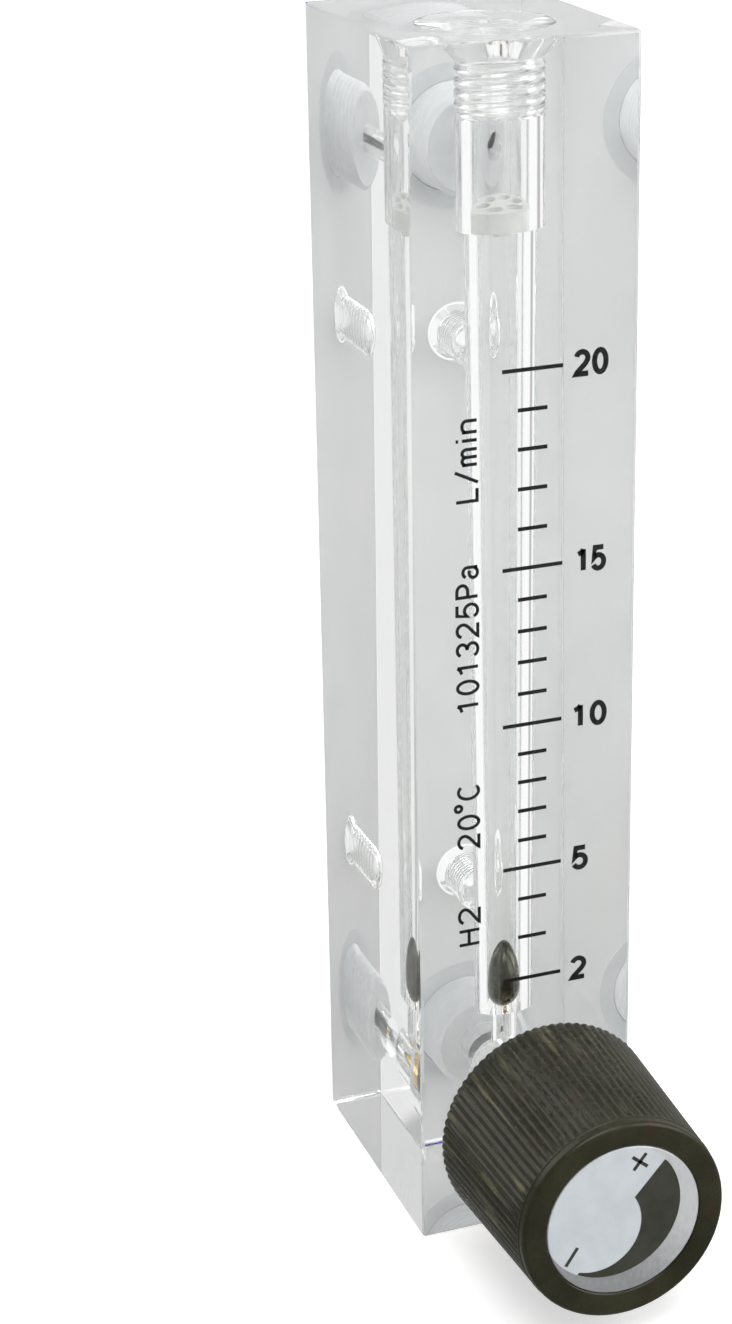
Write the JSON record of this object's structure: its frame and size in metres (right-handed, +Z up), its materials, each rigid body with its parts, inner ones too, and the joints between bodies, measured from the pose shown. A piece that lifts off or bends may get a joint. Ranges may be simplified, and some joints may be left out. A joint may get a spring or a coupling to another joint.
{
  "type": "rotameter",
  "caption": "Clear acrylic panel rotameter: a float rises in a tapered bore behind a printed scale; a needle valve knob sits in front and push-in tube fittings at the rear.",
  "frame": {"origin": "centre of the block's flat base", "axes": "+Z up along the metering bore, -Y out of the front face that carries the scale and the knob, +Y out of the rear face that carries the tube fittings, +X to the right seen from the front"},
  "size_m": [0.028, 0.0813, 0.15],
  "materials": {
    "clear_acrylic": "polished clear acrylic",
    "white_film": "smooth white film",
    "dark_aluminium": "dark anodised, polished",
    "white_plastic": "turned white plastic",
    "brass": "turned brass",
    "plated_brass": "pale plated brass",
    "black_rubber": "satin rubber",
    "dark_plastic": "dark olive moulded plastic",
    "silver_label": "satin silver disc",
    "spring_steel": "bright spring steel",
    "blue_plastic": "glossy blue plastic"
  },
  "bodies": {
    "block": {"acrylic_body": "clear_acrylic", "rear_film": "white_film", "top_plug": "clear_acrylic", "float_stop": "white_plastic", "bonnet": "brass", "bonnet_seal": "black_rubber", "outlet_fitting_body": "plated_brass", "outlet_face_seal": "black_rubber", "outlet_tube_seal": "black_rubber", "outlet_claw_ring": "spring_steel", "outlet_retainer": "brass", "inlet_fitting_body": "brass", "inlet_face_seal": "black_rubber", "inlet_tube_seal": "black_rubber", "inlet_claw_ring": "spring_steel", "inlet_retainer": "brass"},
    "float": {"float": "dark_aluminium"},
    "gland": {"stem_seal": "black_rubber"},
    "knob": {"knob": "dark_plastic", "knob_insert": "brass", "knob_label": "silver_label", "valve_stem": "brass"},
    "outlet_collet": {"outlet_collet": "blue_plastic"},
    "inlet_collet": {"inlet_collet": "blue_plastic"}
  },
  "joints": [
    {"name": "float_rise", "type": "slide", "parent": "block", "child": "float", "axis": [0, 0, 1], "range_m": [0, 0.0912]},
    {"name": "stem_travel", "type": "slide", "parent": "block", "child": "gland", "axis": [0, -1, 0], "range_m": [0, 0.00252]},
    {"name": "knob_turn", "type": "hinge", "parent": "gland", "child": "knob", "pos_m": [0, -0.032, 0.017], "axis": [0, -1, 0], "range_deg": [0, 1800]},
    {"name": "outlet_collet_push", "type": "slide", "parent": "block", "child": "outlet_collet", "axis": [0, -1, 0], "range_m": [0, 0.001]},
    {"name": "inlet_collet_push", "type": "slide", "parent": "block", "child": "inlet_collet", "axis": [0, -1, 0], "range_m": [0, 0.001]}
  ],
  "couplings": [
    {"joint": "stem_travel", "follows": "knob_turn", "m_per_rad": 0.000079577}
  ]
}
